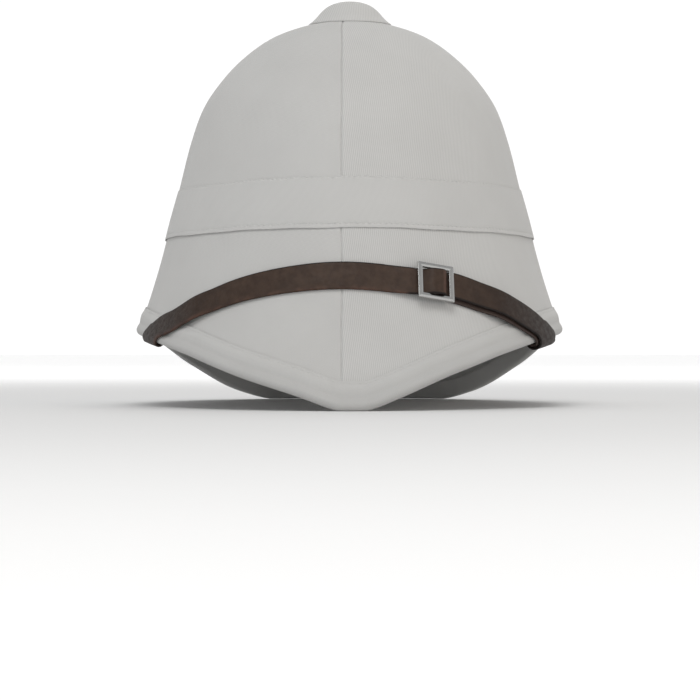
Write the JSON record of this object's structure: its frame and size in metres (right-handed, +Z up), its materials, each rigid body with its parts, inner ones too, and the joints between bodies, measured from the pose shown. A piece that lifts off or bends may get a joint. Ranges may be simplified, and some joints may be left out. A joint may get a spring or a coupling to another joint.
{
  "type": "pith helmet",
  "caption": "White cloth-covered pith helmet with a domed top button, a flat crown band, a bound brim and a leather chin strap with a square slide worn over the front peak.",
  "frame": {"origin": "on the surface that the helmet rests on, under the middle of the brim", "axes": "+Z up through the top button, +Y from the front peak to the rear, +X to the wearer's left"},
  "size_m": [0.2436, 0.3358, 0.2319],
  "materials": {
    "cotton_cloth": "white cotton twill, matt",
    "strap_leather": "dark brown strap leather, satin",
    "nickel_plate": "bevelled nickel plate, polished",
    "hook_steel": "bright steel wire"
  },
  "bodies": {
    "root": {"shell": "cotton_cloth", "crown_band": "cotton_cloth", "brim_binding": "cotton_cloth", "top_button": "cotton_cloth", "chin_strap": "strap_leather", "slide_buckle": "nickel_plate", "strap_hook_left": "hook_steel", "strap_hook_right": "hook_steel"}
  },
  "joints": []
}
